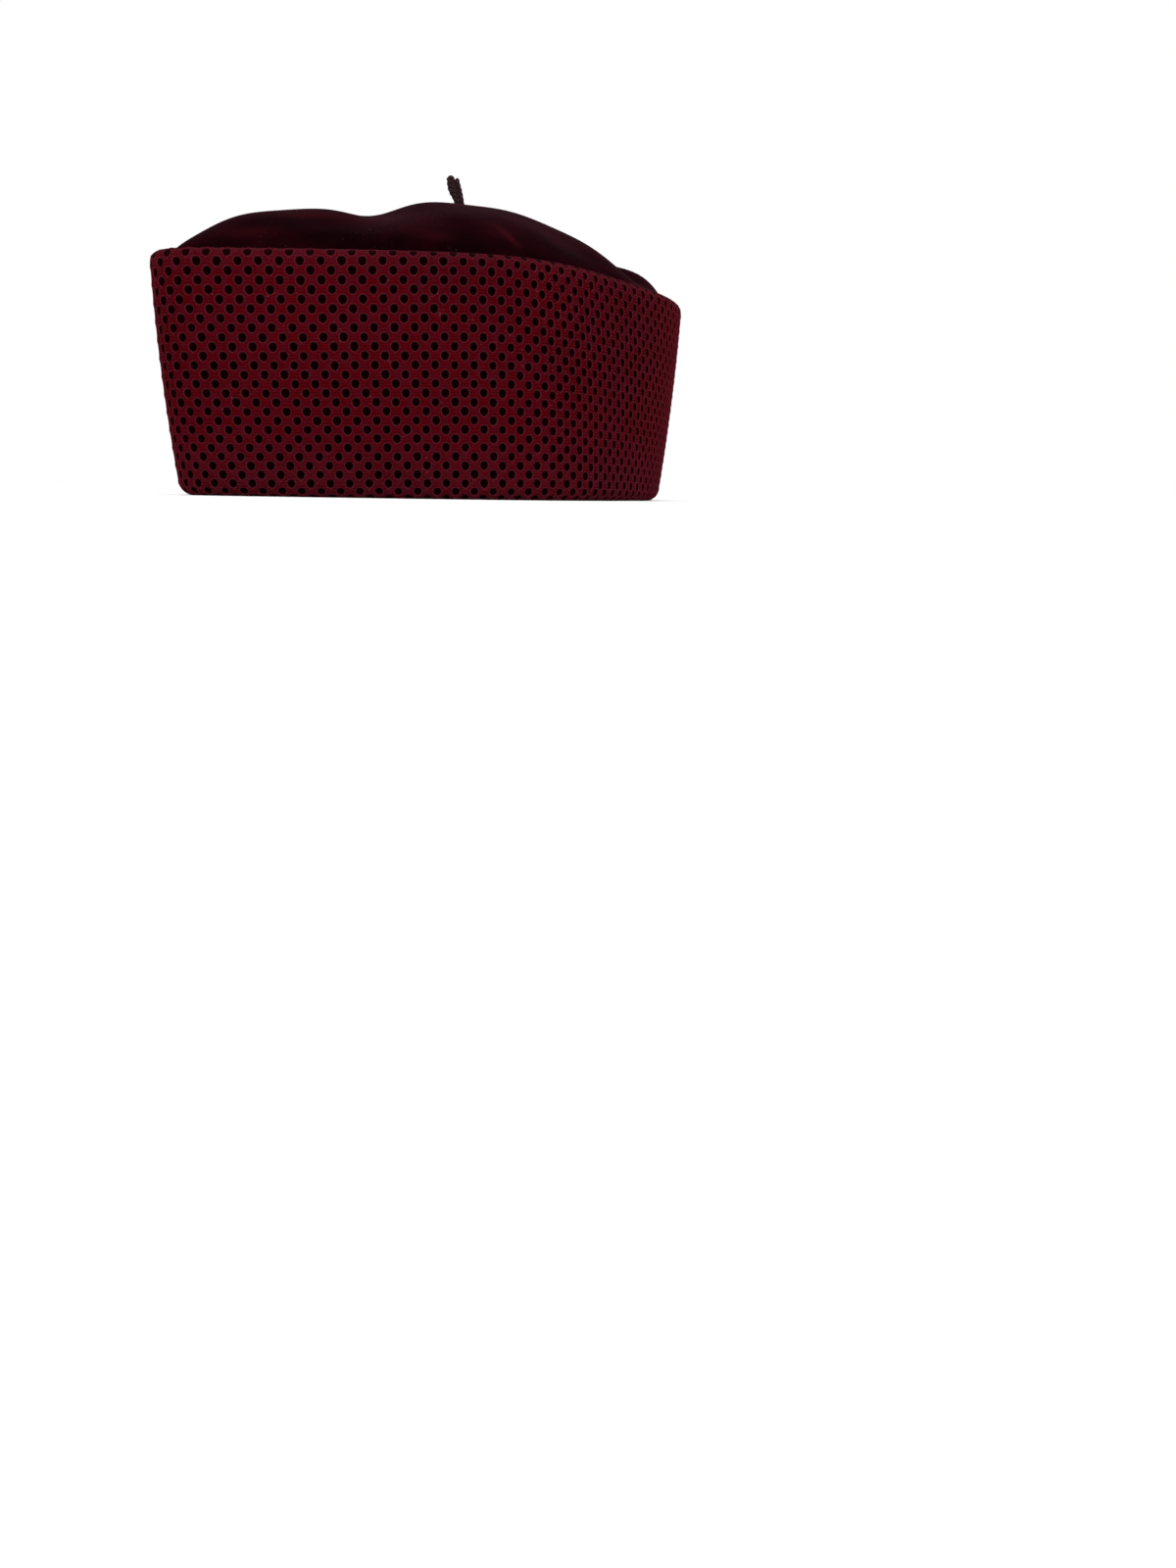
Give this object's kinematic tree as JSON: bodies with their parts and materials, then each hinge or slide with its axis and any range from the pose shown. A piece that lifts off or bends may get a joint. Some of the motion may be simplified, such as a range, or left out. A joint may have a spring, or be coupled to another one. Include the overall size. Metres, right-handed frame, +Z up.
{
  "type": "fez hat",
  "caption": "Low fez-type cap with a stiff flaring air-mesh band, a soft velvet crown and a short doubled cord stalk.",
  "frame": {"origin": "middle of the cap's box, on the surface that its hem rests on", "axes": "+Z up, -Y towards the front of the cap, +X towards the wearer's left"},
  "size_m": [0.1682, 0.2482, 0.1306],
  "materials": {
    "mesh_knit": "matte",
    "velvet": "matte",
    "cord": "matte"
  },
  "bodies": {
    "root": {"band": "mesh_knit", "crown": "velvet", "stalk": "cord"}
  },
  "joints": []
}
